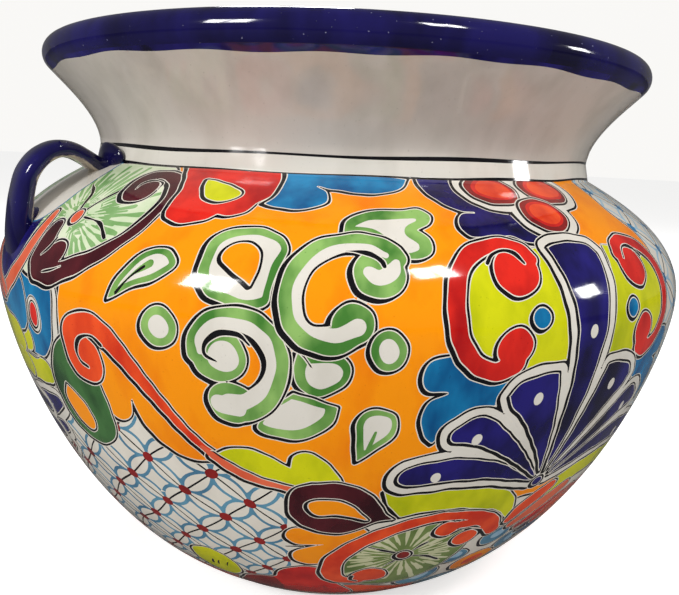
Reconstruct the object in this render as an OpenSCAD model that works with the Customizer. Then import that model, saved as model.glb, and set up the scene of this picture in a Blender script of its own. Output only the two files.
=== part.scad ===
// Talavera pot: a wide-bellied earthenware vase with a flared neck, a rolled lip and two strap handles.
// Origin: centre of the foot's resting plane. +Z is up, and the handles lie along X.

/* [Body] */
// Radius of the belly at its widest
belly_r = 200; // [195:1:205]
// Height of the belly seam above the table
belly_z = 178; // [175:1:181]
// Thickness of the clay wall
wall = 9; // [8:0.5:10]

/* [Neck] */
// Outer radius of the collar, where the neck is narrowest
collar_r = 146; // [144:1:148]
// Height at which the shoulder meets the collar
collar_z = 237.5; // [237:0.5:238.5]
// Height of the collar band
collar_h = 9; // [8:0.5:10]
// Total height of the pot
pot_h = 300; // [299:0.5:301]
// Radius of the rolled lip's round section
lip_r = 8.5; // [8:0.5:9]
// Radius from the pot's axis to the centre of the lip's round section
lip_ring_r = 166; // [165:1:167]

/* [Foot] */
// Outer radius of the foot ring
foot_r = 95; // [92:1:96]
// Radial width of the foot ring
foot_w = 12; // [10:1:14]
// Height of the foot ring
foot_h = 6; // [5:0.5:7]
// Thickness of the base slab
slab_t = 10; // [9:0.5:11]

/* [Handles] */
// Thickness of the strap
strap_t = 9; // [8:0.5:10]
// Width of the strap, across the handle
strap_w = 24; // [22:1:26]
// Radius of the arch, to the middle of the strap
arch_r = 20.5; // [20:0.5:21]
// Distance of the arch's centre from the pot's axis
arch_x = 170; // [169:0.5:171]
// Height of the arch's centre above the table
arch_z = 222; // [221:0.5:223]

/* [Hidden] */
$fn = 96;
slab_top = foot_h + slab_t;
slab_r = 117;             // outer radius of the slab's upper edge
slab_foot_r = 104;        // outer radius of the slab's lower edge
curve_steps = 14;         // straight pieces in each outline curve
edge_steps = 6;           // straight pieces in each rounded edge of the strap
throat_r = collar_r - wall;
collar_top = collar_z + collar_h;
lip_z = pot_h - lip_r;
lip_seat = 6;             // how far outside the middle of the lip's section the neck meets it
lip_seat_r = lip_ring_r + lip_seat;
lip_seat_z = lip_z - sqrt(lip_r * lip_r - lip_seat * lip_seat);
leg_lean = 10;            // degrees that the strap's outer leg leans away from the pot
leg_l = 30;               // length of the outer leg, down to its root in the shoulder
arch_end = 92;            // degrees of the arch, from the outer leg to the run in to the collar
run_lean = 10;            // degrees that the run drops away from the arch's end
run_l = 27;               // length of that run, down to its root in the collar
clay = "peru";
cobalt = "midnightblue";
cream = "ivory";

// Corner points of the three outline curves, as [radius, height].
lower_curve = [[belly_r, belly_z], [belly_r, belly_z - 29], [174, 62], [slab_r, slab_top]];
upper_curve = [[belly_r, belly_z], [belly_r, belly_z + 29], [173, 224], [collar_r + 2, collar_z]];
neck_curve = [[collar_r, collar_top], [collar_r, collar_top + 15], [164, 277], [lip_seat_r, lip_seat_z]];

// Point and direction at t on a cubic curve with four corner points.
function on_curve(c, t) =
    pow(1 - t, 3) * c[0] + 3 * t * pow(1 - t, 2) * c[1] + 3 * t * t * (1 - t) * c[2] + pow(t, 3) * c[3];
function along(c, t) =
    pow(1 - t, 2) * (c[1] - c[0]) + 2 * t * (1 - t) * (c[2] - c[1]) + t * t * (c[3] - c[2]);

// The curve moved sideways by d, to the left of its direction of travel.
function beside(c, d) = [
    for (i = [0 : curve_steps]) let (t = i / curve_steps, v = along(c, t))
        on_curve(c, t) + d * [-v[1], v[0]] / norm(v)
];
function reversed(points) = [for (i = [len(points) - 1 : -1 : 0]) points[i]];

// The pot's outer form from the slab up to the lip, which the handle pieces are trimmed to.
module outer_outline() {
    polygon(concat(
        [[0, slab_top]],
        reversed(beside(lower_curve, 0)),
        beside(upper_curve, 0),
        beside(neck_curve, 0),
        [[0, lip_seat_z]]
    ));
}

// Turned foot that the pot stands on. It is the only unglazed clay.
module foot_ring() {
    color(clay)
        rotate_extrude()
            polygon([
                [foot_r - foot_w, 0], [foot_r, 0], [foot_r + 1, foot_h / 2],
                [foot_r, foot_h], [foot_r - foot_w, foot_h],
            ]);
}

// Flat slab that closes the bottom.
module base_slab() {
    color(cream)
        rotate_extrude()
            polygon([[0, foot_h], [slab_foot_r, foot_h], [slab_r, slab_top], [0, slab_top]]);
}

// Lower half of the belly, from the slab up to the seam at the widest point.
module lower_bowl() {
    color("orange")
        rotate_extrude()
            polygon(concat(
                beside(lower_curve, 0),
                [[slab_r - wall - 4, slab_top]],
                reversed(beside(lower_curve, -wall))
            ));
}

// Upper half of the belly, from the seam in to the collar.
module shoulder_bowl() {
    color("orange")
        rotate_extrude()
            polygon(concat(
                beside(upper_curve, 0),
                [[throat_r, collar_z], [throat_r + 1.5, collar_z - 5]],
                reversed(beside(upper_curve, wall))
            ));
}

// Short band between the shoulder and the flared neck.
module collar_band() {
    color(cream)
        rotate_extrude()
            polygon([
                [throat_r, collar_z], [collar_r + 2, collar_z],
                [collar_r, collar_top], [throat_r, collar_top],
            ]);
}

module lip_round() {
    rotate_extrude()
        translate([lip_ring_r, lip_z])
            circle(r = lip_r);
}

// Neck that opens out like a trumpet. Its top edge is hollowed to seat the lip.
module flared_neck() {
    color(cream)
        difference() {
            rotate_extrude()
                polygon(concat(beside(neck_curve, 0), reversed(beside(neck_curve, wall))));
            lip_round();
        }
}

// Thick round lip, rolled from a coil of clay.
module rolled_lip() {
    color(cobalt)
        lip_round();
}

// Flat section with rounded edges, across the strap. X is its thickness.
module strap_section() {
    edge_r = strap_t / 2;
    polygon([
        for (side = [0, 1], i = [0 : edge_steps])
            let (a = 180 * side + 180 * i / edge_steps, shift = (0.5 - side) * (strap_w - strap_t))
                [edge_r * cos(a), edge_r * sin(a) + shift]
    ]);
}

// Handle on the +X side, before it is trimmed to the pot: the run in to the collar, the arch and the leg.
module strap_form() {
    translate([arch_x, 0, arch_z])
        rotate([90, 0, 0]) {
            rotate_extrude(angle = arch_end)
                translate([arch_r, 0])
                    strap_section();
            translate([arch_r, 0, 0])
                rotate([90, 0, leg_lean])
                    linear_extrude(height = leg_l)
                        strap_section();
            rotate([0, 0, arch_end])
                translate([arch_r, 0, 0])
                    rotate([-90, 0, run_lean])
                        linear_extrude(height = run_l)
                            strap_section();
        }
}

module strap() {
    color(cobalt)
        difference() {
            strap_form();
            rotate_extrude()
                outer_outline();
        }
}

// Roll of clay pressed round the root of a strap: part of a ring about the pot's axis, hollowed to fit
// the pot on one side and the strap on the other.
module wad(ring_r, height, round_r, half_angle) {
    color(cobalt)
        difference() {
            rotate([0, 0, -half_angle])
                rotate_extrude(angle = 2 * half_angle)
                    difference() {
                        translate([ring_r, height])
                            circle(r = round_r, $fn = 48);
                        outer_outline();
                    }
            strap_form();
        }
}

module collar_wad() {
    wad(ring_r = collar_r + 3, height = collar_z + 2.5, round_r = 6.5, half_angle = 5.5);
}

module shoulder_wad() {
    wad(ring_r = arch_x + 18, height = arch_z - 12, round_r = 8, half_angle = 4.5);
}

module on_left() {
    rotate([0, 0, 180])
        children();
}

foot_ring();
base_slab();
lower_bowl();
shoulder_bowl();
collar_band();
flared_neck();
rolled_lip();
on_left() strap();  // left_strap
on_left() collar_wad();  // left_collar_wad
on_left() shoulder_wad();  // left_shoulder_wad
strap();  // right_strap
collar_wad();  // right_collar_wad
shoulder_wad();  // right_shoulder_wad
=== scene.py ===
# %% [markdown]
# # A hand-painted talavera pot
# This lesson builds the looks of a glazed earthenware pot round its CAD model. The clay pieces come
# first, then the painting, which is cut into the surface itself, then the handles, and at the end the
# light and the camera. Lengths are in millimetres until a mesh is made, because a potter thinks in them.

# %% The frame
import math

import bmesh
import bpy
import numpy as np
from mathutils import Matrix, Vector
from mathutils.geometry import delaunay_2d_cdt


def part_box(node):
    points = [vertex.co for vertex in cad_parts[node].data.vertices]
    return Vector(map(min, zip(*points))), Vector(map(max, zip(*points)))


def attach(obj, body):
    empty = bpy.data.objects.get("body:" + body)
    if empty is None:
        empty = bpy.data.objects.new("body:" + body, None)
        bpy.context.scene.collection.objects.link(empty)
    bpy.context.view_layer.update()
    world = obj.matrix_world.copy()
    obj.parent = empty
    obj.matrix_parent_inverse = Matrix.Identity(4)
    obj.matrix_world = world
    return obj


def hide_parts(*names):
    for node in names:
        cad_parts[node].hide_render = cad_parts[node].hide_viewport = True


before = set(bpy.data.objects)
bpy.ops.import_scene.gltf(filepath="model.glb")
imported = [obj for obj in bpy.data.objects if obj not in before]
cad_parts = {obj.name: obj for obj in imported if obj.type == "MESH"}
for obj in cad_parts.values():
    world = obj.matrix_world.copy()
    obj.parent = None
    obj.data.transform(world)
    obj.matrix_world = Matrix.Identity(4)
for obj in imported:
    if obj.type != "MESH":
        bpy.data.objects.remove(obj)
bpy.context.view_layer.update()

MM = 0.001
print("nodes:", sorted(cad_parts))

# %% [markdown]
# ## The pot's outline
# A thrown pot is a solid of revolution, so one outline gives its whole outside. Three cubic curves are
# enough: the lower bowl, the shoulder and the neck. The slab and the collar band are straight. The corner
# points come from the CAD boxes where a box gives them, and the few that a box can't give are the same
# round numbers as in the CAD source.

# %% Outline curves
belly_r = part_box("lower_bowl")[1].x / MM
belly_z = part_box("lower_bowl")[1].z / MM
slab_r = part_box("base_slab")[1].x / MM
slab_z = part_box("base_slab")[1].z / MM
collar_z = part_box("collar_band")[0].z / MM
neck_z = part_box("collar_band")[1].z / MM
collar_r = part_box("collar_band")[1].x / MM
lip_r = (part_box("rolled_lip")[1].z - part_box("rolled_lip")[0].z) / MM / 2
lip_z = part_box("rolled_lip")[1].z / MM - lip_r
lip_ring_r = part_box("rolled_lip")[1].x / MM - lip_r
neck_r = collar_r - 2
seat_in = 6                       # the neck meets the lip this far outside the middle of the roll
seat_r = lip_ring_r + seat_in
seat_z = lip_z - math.sqrt(lip_r ** 2 - seat_in ** 2)
bulge = 29                        # the belly's curve corners stand this far above and below its seam
wall = 9                          # the thickness of the clay

CURVES = {
    "base_slab": [(104, 6), (104, 6), (slab_r, slab_z), (slab_r, slab_z)],
    "lower_bowl": [(slab_r, slab_z), (174, 62), (belly_r, belly_z - bulge), (belly_r, belly_z)],
    "shoulder_bowl": [(belly_r, belly_z), (belly_r, belly_z + bulge), (173, 224), (collar_r, collar_z)],
    "collar_band": [(collar_r, collar_z), (collar_r, collar_z), (neck_r, neck_z), (neck_r, neck_z)],
    "flared_neck": [(neck_r, neck_z), (neck_r, neck_z + 15), (164, 277), (seat_r, seat_z)],
}


def on_curve(corners, steps=120):
    """Points on the cubic curve with four corner points, as [radius, height] rows."""
    t = np.linspace(0, 1, steps + 1)[:, None]
    a, b, c, d = (np.array(p, float) for p in corners)
    return (1 - t) ** 3 * a + 3 * t * (1 - t) ** 2 * b + 3 * t ** 2 * (1 - t) * c + t ** 3 * d


outline = np.concatenate([on_curve(c)[:-1] for c in CURVES.values()] + [[(seat_r, seat_z)]])
outline_v = np.concatenate([[0], np.cumsum(np.hypot(*np.diff(outline, axis=0).T))])
SEAMS = [float(np.interp(c[0][1], outline[:, 1], outline_v)) for c in CURVES.values()]
SEAMS.append(float(outline_v[-1]))
BOWL_V, BELLY_V, COLLAR_V, NECK_V, TOP_V = SEAMS[1:]
slopes = np.gradient(outline, outline_v, axis=0)
print("seams along the outline, mm:", [round(s, 1) for s in SEAMS])


def radius_at(v):
    return np.interp(v, outline_v, outline[:, 0])


def place(angle, v):
    """Position in metres and outward normal of points on the pot, from their angle and outline length."""
    turn = np.radians(np.asarray(angle) - 90)
    r = radius_at(v)
    z = np.interp(v, outline_v, outline[:, 1])
    out, up = np.interp(v, outline_v, slopes[:, 1]), -np.interp(v, outline_v, slopes[:, 0])
    size = np.hypot(out, up)
    out, up = out / size, up / size
    where = np.stack([r * np.sin(turn), -r * np.cos(turn), z], -1) * MM
    normal = np.stack([out * np.sin(turn), -out * np.cos(turn), up], -1)
    return where, normal

# %% [markdown]
# ## Shapes for the painting
# The painter's vocabulary is small: brush strokes that swell and thin, closed outlines with a sharp tip or
# two, and discs. Each is described here by a distance: negative inside, positive outside, in millimetres
# on the pot's own surface. Distances make the rest easy, because growing a shape, joining two shapes or
# shifting one a little are each one line. Angles are degrees round the pot from the left handle, and v is
# the length along the outline from the foot.

# %% Distances on the surface
PERIOD = 180                      # the painting repeats in every half turn
DEG = math.pi / 180


def flat(angle, v, middle):
    """Millimetres across and up, for points near one angle of the pot."""
    return ((angle - middle + PERIOD / 2) % PERIOD - PERIOD / 2) * DEG * radius_at(v), v


def hand(angle, v):
    """The small wander of a hand-held brush, the same for every shape that passes a point."""
    x = angle * 3.2
    return 0.24 * np.sin(0.33 * x + 0.21 * v) + 0.16 * np.sin(0.52 * x - 0.47 * v + 2)


def smooth(points, closed, steps=7):
    """A smooth curve through a few points: the middle of each span is pulled by its neighbours."""
    p = np.array(points, float)
    if closed:
        p = np.concatenate([p[-1:], p, p[:2]])
    else:
        p = np.concatenate([2 * p[:1] - p[1:2], p, 2 * p[-1:] - p[-2:-1]])
    t = np.linspace(0, 1, steps + 1)[:-1, None]
    spans = []
    for a, b, c, d in zip(p, p[1:], p[2:], p[3:]):
        spans.append(b + 0.5 * t * (c - a + t * (2 * a - 5 * b + 4 * c - d + t * (3 * (b - c) + d - a))))
    if not closed:
        spans.append(p[-2:-1])
    return np.concatenate(spans)


class Shape:
    """A distance function on the pot, with the patch of angles and lengths that it covers."""

    def __init__(self, distance, angles, lengths):
        self.distance, self.angles, self.lengths = distance, angles, lengths

    def grow(self, mm):
        """The same shape, wider by some millimetres on every side, or narrower."""
        pad = max(mm, 0) / 2
        return Shape(lambda a, v: self.distance(a, v) - mm,
                     (self.angles[0] - pad, self.angles[1] + pad),
                     (self.lengths[0] - 2 * pad, self.lengths[1] + 2 * pad))

    def moved(self, across, up):
        """The same shape shifted by millimetres."""
        turn = across / 3
        return Shape(lambda a, v: self.distance(a - across / radius_at(v) / DEG, v - up),
                     (self.angles[0] + min(turn, 0), self.angles[1] + max(turn, 0)),
                     (self.lengths[0] + min(up, 0), self.lengths[1] + max(up, 0)))

    def mirrored(self, about):
        """The same shape on the other side of one angle of the pot."""
        return Shape(lambda a, v: self.distance(2 * about - a, v),
                     (2 * about - self.angles[1], 2 * about - self.angles[0]), self.lengths)

    def turned(self, angle, up=0):
        """The same shape further round the pot, and higher or lower."""
        return Shape(lambda a, v: self.distance(a - angle, v - up),
                     (self.angles[0] + angle, self.angles[1] + angle),
                     (self.lengths[0] + up, self.lengths[1] + up))


def joined(*shapes):
    """One shape that covers all of them."""
    return Shape(lambda a, v: np.minimum.reduce([s.distance(a, v) for s in shapes]),
                 (min(s.angles[0] for s in shapes), max(s.angles[1] for s in shapes)),
                 (min(s.lengths[0] for s in shapes), max(s.lengths[1] for s in shapes)))


def within(shape, field):
    """The part of a shape that lies in a field."""
    return Shape(lambda a, v: np.maximum(shape.distance(a, v), field.distance(a, v)),
                 (max(shape.angles[0], field.angles[0]), min(shape.angles[1], field.angles[1])),
                 (max(shape.lengths[0], field.lengths[0]), min(shape.lengths[1], field.lengths[1])))


def stroke(*points):
    """One brush stroke through (angle, v, width) points. Its ends are round."""
    p = np.array(points, float)
    middle = p[:, 0].mean()
    x, y = flat(p[:, 0], p[:, 1], middle) if len(p) > 1 else (np.zeros(1), p[:, 1])
    line = np.stack([x, y, p[:, 2] / 2], -1)
    line = smooth(line, False) if len(p) > 1 else np.repeat(line, 2, 0) + [[0, 0, 0], [0.01, 0, 0]]
    start, step = line[:-1], np.diff(line, axis=0)
    long2 = np.maximum((step[:, :2] ** 2).sum(1), 1e-9)

    def distance(a, v):
        x, y = flat(a, v, middle)
        dx, dy = x[:, None] - start[:, 0], y[:, None] - start[:, 1]
        t = np.clip((dx * step[:, 0] + dy * step[:, 1]) / long2, 0, 1)
        gap = np.hypot(dx - t * step[:, 0], dy - t * step[:, 1]) - (start[:, 2] + t * step[:, 2])
        return gap.min(1) + hand(a, v)

    pad = line[:, 2].max() + 1
    small = radius_at(p[:, 1]).min() * DEG
    return Shape(distance, (p[:, 0].min() - pad / small, p[:, 0].max() + pad / small),
                 (p[:, 1].min() - pad, p[:, 1].max() + pad))


def disc(angle, v, r):
    return stroke((angle, v, 2 * r))


def outlined(*runs):
    """A closed outline of (angle, v) runs. A run is smooth inside and meets the next one in a corner.
    A single run that doesn't end where it starts is closed smoothly."""
    flat_points = np.array([p for run in runs for p in run], float)
    middle = (flat_points[:, 0].min() + flat_points[:, 0].max()) / 2

    def plane(run):
        run = np.array(run, float)
        return np.stack(flat(run[:, 0], run[:, 1], middle), -1)

    if len(runs) == 1 and runs[0][0] != runs[0][-1]:
        edge = smooth(plane(runs[0]), True)
    else:
        edge = np.concatenate([smooth(plane(run), False)[:-1] for run in runs])
    after = np.roll(edge, -1, 0)
    step = after - edge
    long2 = np.maximum((step ** 2).sum(1), 1e-9)

    def distance(a, v):
        x, y = flat(a, v, middle)
        dx, dy = x[:, None] - edge[:, 0], y[:, None] - edge[:, 1]
        t = np.clip((dx * step[:, 0] + dy * step[:, 1]) / long2, 0, 1)
        gap = np.hypot(dx - t * step[:, 0], dy - t * step[:, 1]).min(1)
        crosses = (edge[:, 1] > y[:, None]) != (after[:, 1] > y[:, None])
        rise = np.where(step[:, 1] == 0, 1e-9, step[:, 1])
        inside = (crosses & (dx < dy / rise * step[:, 0])).sum(1) % 2 == 1
        return np.where(inside, -gap, gap) + hand(a, v)

    pad = 2
    return Shape(distance, (flat_points[:, 0].min() - pad, flat_points[:, 0].max() + pad),
                 (edge[:, 1].min() - pad, edge[:, 1].max() + pad))


def oval(angle, v, across, up, lean=0):
    """An ellipse with half-widths in millimetres, leaning clockwise by degrees."""
    r = float(radius_at(v)) * DEG
    turn = np.arange(0, 360, 20) * DEG
    x, y = across * np.cos(turn), up * np.sin(turn)
    c, s = math.cos(lean * DEG), math.sin(lean * DEG)
    x, y = x * c + y * s, y * c - x * s
    return outlined([(angle + a / r, v + b) for a, b in zip(x, y)])


print("one degree at the belly is", round(float(radius_at(BELLY_V)) * DEG, 2), "mm wide")

# %% [markdown]
# ## Coats of glaze
# The real painter draws black outlines with a greasy pigment and floods coloured glaze between them. The
# glaze never quite touches the line, so a thin white gap shows along both sides of it. A motif is
# therefore a stack of coats: the outer gap, the black line, the inner gap and the colour. The line is
# made of the grown shape and a copy of it shifted down and left, so it swells on that side as a brush
# line does. Later coats cover earlier ones.

# %% Coats
coats = []


def coat(shape, colour):
    """Lays one flat colour over everything that was painted before."""
    coats.append((shape, colour))


def motif(shape, colour, ink=0.95, lean=(-0.8, -0.6), bare=0.45, band=0, band_lean=(0, 0), inner=None):
    """A field of colour with its black outline. With a band, the colour is only a brushed edge of that
    width, and the inside takes the inner colour. The band can also be the inside shape itself."""
    border = joined(shape.grow(ink), shape.moved(*lean).grow(ink * 0.9))
    coat(border.grow(bare * 0.9), "bare")
    coat(border, "ink")
    coat(shape, "bare")
    coat(shape.grow(-bare), colour)
    if isinstance(band, Shape):
        coat(within(band, shape.grow(-bare)), inner)
    elif band:
        coat(shape.moved(*band_lean).grow(-bare - band), inner)


print("the painting starts with", len(coats), "coats")

# %% [markdown]
# Most motifs stand in several places: in front, mirrored toward the other handle, or mirrored about the
# fan. Each place is one function that moves a finished shape. A brush line is short and its wander is what
# makes it look drawn, so its points are moved first and the line is then drawn afresh.

# %% Places of a motif
FAN_MIDDLE = 86.5                 # the angle of the fan's axis


def same(shape):
    return shape


def far_side(shape):
    """The mirror image that faces the other handle."""
    return shape.mirrored(PERIOD / 2)


def by_fan(shape):
    """The mirror image on the other side of the fan."""
    return shape.mirrored(FAN_MIDDLE)


def far_rosette(shape):
    """The second rosette, a little further round and lower. Its brush lines keep the first one's height."""
    return by_fan(shape).turned(6.5, -8)


def low_scrolls(shape):
    """The leaf scrolls come back lower down, beyond the fan."""
    return shape.turned(84, -122)


def low_drops(shape):
    return shape.turned(86, -118)


spots = {
    same: lambda a, v: (a, v),
    far_side: lambda a, v: (PERIOD - a, v),
    by_fan: lambda a, v: (2 * FAN_MIDDLE - a, v),
    far_rosette: lambda a, v: (2 * FAN_MIDDLE - a + 6.5, v),
    low_scrolls: lambda a, v: (a + 84, v - 122),
}


def line(put, *points, bare=0.42):
    """A black brush line with the white gap along both sides."""
    mark = stroke(*[(*spots[put](a, v), width) for a, v, width in points])
    coat(mark.grow(bare), "bare")
    coat(mark, "ink")


print("places of a motif:", [put.__name__ for put in spots])

# %% [markdown]
# ## The lattice
# A trellis of lens-shaped loops with dark diagonals and a red dot at each crossing fills the quiet
# parts. It repeats, so it isn't drawn stroke by stroke: folding the surface into one cell gives the
# distance to every loop at once.

# %% Lattice
CELL_ANGLE, CELL_V = 9.8, 28.6


def lattice(start_angle, start_v, region, kind, width):
    """Loops, diagonals or dots of the trellis as one shape inside a region."""

    def distance(a, v):
        a = a + 0.25 * np.sin(v / 9) + 0.2 * np.sin(a / 2.3)
        v = v + 0.8 * np.sin(a / 1.7) + 0.13 * (a - start_angle)
        x = np.abs((a - start_angle) / CELL_ANGLE % 1 - 0.5)
        y = np.abs((v - start_v) / CELL_V % 1 - 0.5)
        half_x, half_y = CELL_ANGLE * DEG * radius_at(v) / 2, np.full_like(v, CELL_V / 2)
        x, y = (0.5 - x) * 2 * half_x, (0.5 - y) * 2 * half_y
        if kind == "dots":
            return np.minimum(np.hypot(x, y), np.hypot(half_x - x, half_y - y)) - width / 2
        span = np.hypot(half_x, half_y)
        along = (x * half_x + y * half_y) / span - span / 2
        aside = np.abs(x * half_y - y * half_x) / span
        if kind == "diagonals":
            return aside - width / 2
        bulge = 5.2
        bend = (span ** 2 / 4 + bulge ** 2) / 2 / bulge
        return np.abs(np.hypot(along, aside + bend - bulge) - bend) - width / 2

    return within(Shape(distance, region.angles, region.lengths), region)


def trellis(start_angle, start_v, region, loops="slate", dots="brick"):
    """Loops, diagonals and dots, in the order in which a painter lays them."""
    coat(lattice(start_angle, start_v, region, "loops", 1.7), loops)
    coat(lattice(start_angle, start_v, region, "diagonals", 0.9), "ink")
    coat(lattice(start_angle, start_v, region, "dots", 6.2), dots)


def panel(left, right, low, high):
    """A plain four-cornered region."""
    corners = [(left, low), (right, low), (right, high), (left, high), (left, low)]
    return outlined(*[[a, b] for a, b in zip(corners, corners[1:])])


trellis(33.6, 119.3, panel(-24, 50, 20, 160))
trellis(33.6 + 8 * CELL_ANGLE, 119.3 + 4 * CELL_V, panel(98, 168, 120, 292), "haze", "sky")
print("coats so far:", len(coats))

# %% [markdown]
# ## The orange panels
# Orange is the main ground. Its lower edge is scalloped where it meets the trellis, so the panel is one
# outline with a corner between each two scallops.

# %% Orange ground
motif(outlined(
    [(16, 300), (16.5, 240), (17.5, 180), (23, 176)],
    [(23, 176), (23.2, 163), (24.4, 155), (26.2, 153.5), (28.2, 158), (28.8, 166)],
    [(28.8, 166), (29.6, 156), (32, 146), (35.5, 140.5), (39.5, 141)],
    [(39.5, 141), (49, 128), (64, 118), (104, 118), (104, 150)],
    [(104, 150), (105.5, 230), (104, 262), (105, 300)],
    [(105, 300), (60, 302), (16, 300)]), "orange")
motif(outlined(
    [(107, 8), (106, 60), (110, 112), (120, 122)],
    [(120, 122), (126, 128), (131, 126), (134, 133)],
    [(134, 133), (139, 142), (145, 140), (147, 150)],
    [(147, 150), (152, 158), (158, 150), (165, 8)],
    [(165, 8), (107, 8)]), "orange")
print("coats so far:", len(coats))

# %% [markdown]
# ## The foot of the belly
# A red band runs round the foot, under the rosettes. It is a band function instead of an outline: it
# only compares a point's height with a level that waves as the brush did.

# %% Foot band
def above(level, start=0):
    """Everything above a level, which is a function of the angle. Start is where its box begins."""
    return Shape(lambda a, v: level(a) - v, (-0.5, PERIOD + 0.5), (start, TOP_V + 4))


def below(level, end):
    """Everything below a level. End is where its box stops."""
    return Shape(lambda a, v: v - level(a), (-0.5, PERIOD + 0.5), (-4, end))


def foot_level(a):
    return 37 + 4.5 * np.sin(2 * 4 * a * DEG) + 1.6 * np.sin(2 * 9 * a * DEG + 1)


motif(below(foot_level, 48), "flame", lean=(0, 0.5))
# Below the red band a darker brick band waves round, so the colour gets darker towards the foot.
coat(below(lambda a: 22 + 2.2 * np.sin(2 * 7 * a * DEG), 30), "brick")
print("coats so far:", len(coats))

# %% [markdown]
# ## Round the handle
# The same group stands on both sides of each handle: a pale green palmette held by maroon scrolls, a
# salmon ribbon, a blue patch with a red dot, lime leaves, a dark flower and a green oval.

# %% Rays and palmettes
def rays(angle, v, inner, outer, first, last, count, width):
    """Thin brush dabs that spread from one point, like the ribs of a shell."""
    r = float(radius_at(v)) * DEG
    dabs = []
    for i in range(count):
        turn = (first + (last - first) * i / (count - 1)) * DEG
        far = outer * (0.86 + 0.14 * math.sin(2.4 * i))
        x, y = math.cos(turn), math.sin(turn)
        dabs.append(stroke((angle + x * inner / r, v + y * inner, 0.5),
                           (angle + x * far * 0.6 / r, v + y * far * 0.6, width * 0.8),
                           (angle + x * far / r, v + y * far, width)))
    return joined(*dabs)


def palmette(put):
    field = outlined([(5, 284), (5, 225), (10, 212), (18, 214), (25, 229), (29, 250), (29, 268), (24, 284)],
                     [(24, 284), (14, 285), (5, 284)])
    motif(put(field), "mint")
    coat(put(within(rays(14.8, 243, 6, 30, -80, 200, 34, 1.5), field.grow(-2))), "leaf_pale")
    coat(put(within(rays(14.8, 243, 18, 44, -76, 196, 30, 2.6), field.grow(-2))), "leaf_pale")
    for rib in ([(15.5, 247, 1.0), (17, 256, 1.4), (18.6, 263, 0.9)],
                [(14, 247, 1.1), (12.6, 258, 1.5), (9.5, 264.5, 1.0)],
                [(16.6, 243.5, 1.0), (20.5, 241.5, 1.5), (23.2, 234.5, 1.0)]):
        line(put, *rib, bare=0.3)
    motif(put(oval(14.8, 243, 3.4, 4.2)), "salmon", ink=0.9)


def maroon_scrolls(put):
    band = joined(stroke((20.2, 262, 5), (19.9, 270, 6.5), (21.6, 276, 7), (25, 276.3, 7.5), (27.8, 271, 7),
                         (29, 261, 6), (28.6, 249, 5.5), (27, 238, 6), (24, 228, 7), (19.6, 219.5, 8.5),
                         (15.4, 215, 11), (12, 216, 12)),
                  disc(22.3, 264.3, 9.2),
                  stroke((12, 236, 9), (11.8, 228, 12), (11.4, 220, 12)),
                  stroke((15.6, 224.5, 12.5), (13.5, 219, 12)))
    motif(put(band), "maroon", lean=(-1.1, -0.9))
    for cut_line in ([(25.6, 265, 1.0), (25.2, 270.3, 1.3), (23, 272, 1.2), (21.3, 269, 1.0),
                      (21.2, 264, 0.7)],
                     [(14, 231, 1.2), (13.4, 226, 1.0), (12, 221.5, 0.5)],
                     [(17.5, 219, 0.8), (15.6, 216.5, 0.9), (13.6, 214.6, 0.5)]):
        line(put, *cut_line, bare=0.35)


def handle_flowers(put):
    motif(put(outlined([(-6, 208), (4, 214), (11, 213), (16, 209), (16.6, 198), (15.8, 186), (13.4, 176),
                        (9.5, 171.5), (3, 176), (-6, 186)])).grow(3.2), "white")
    motif(put(outlined([(-8, 208), (4, 214), (11, 213), (16, 209), (16.4, 198), (15.4, 186), (13, 176),
                        (9.5, 172.5), (3, 176), (-8, 186)])), "sky")
    motif(put(oval(11.4, 194, 4.4, 6.6)).grow(1.6), "white", ink=0.5)
    motif(put(oval(11.4, 194, 4.0, 6.2)), "red", ink=0.7)
    dark_petals = [stroke((-4, 140, 8), (2, 141, 12), (7, 144, 13), (11, 148.5, 6)),
                   stroke((-4, 124, 9), (3, 126, 12), (8, 130.5, 7)),
                   stroke((-3, 108, 8), (3, 112, 9), (7, 118, 5))]
    motif(put(joined(*dark_petals)).grow(4.2), "white")
    for petal, colour in zip(dark_petals, ("cobalt", "cobalt", "brick")):
        motif(put(petal), colour)
    coat(put(stroke((3, 138.5, 1), (5.5, 140.5, 3), (7, 143, 1))), "white")
    motif(put(joined(stroke((-3, 178, 17), (3, 180.5, 17), (6.8, 180, 15)),
                     stroke((-3, 163, 15), (5, 164, 16), (10.6, 165, 14)))), "lime")
    motif(put(stroke((5, 171.5, 0.8), (8.5, 171, 1.2), (10, 172.6, 1))), "ink", ink=0.2, bare=0.3)
    motif(put(outlined([(17.5, 188), (14.2, 176), (12.8, 162), (13.4, 146), (15.6, 137), (19, 133.5),
                        (22.5, 138), (24.3, 149), (24, 164), (22.5, 180), (20, 190)])), "forest")
    motif(put(outlined([(15.9, 164), (14.8, 156), (15.6, 147), (17.6, 141), (19.4, 142.5), (19.9, 149),
                        (18.6, 157.5), (15.9, 164)])), "orange")
    motif(put(oval(3, 203, 15, 9, -20)), "flame")


def red_scroll(put):
    """The long scroll that starts in a curl and trails off along the edge of the trellis."""
    motif(put(joined(disc(21.8, 181, 11.6),
                     stroke((19.9, 183, 11), (19.8, 190, 11), (21, 195, 11), (23.6, 197, 11),
                            (26.3, 193.5, 10.5), (28.6, 186.5, 8.6), (31, 177, 7), (33.5, 166.5, 5.8),
                            (36.2, 155, 5), (39.5, 144.5, 4.8), (43.4, 137, 4.8), (48.5, 131, 4)))),
          "flame")
    line(put, (25.4, 189, 1.3), (23.8, 192.3, 1.5), (21.6, 190, 1.6), (20.6, 184, 1.5), (21, 179, 1.3),
         (22.3, 177, 0.8))


for side in (same, far_side):
    handle_flowers(side)
    palmette(side)
    maroon_scrolls(side)
    red_scroll(side)
print("coats so far:", len(coats))

# %% [markdown]
# ## Clouds under the collar
# Lobed clouds hang from the collar line: a red one with a lime drop, a blue wave, a cobalt one, and
# three dark-red petals in a white surround above the fan.

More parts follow.
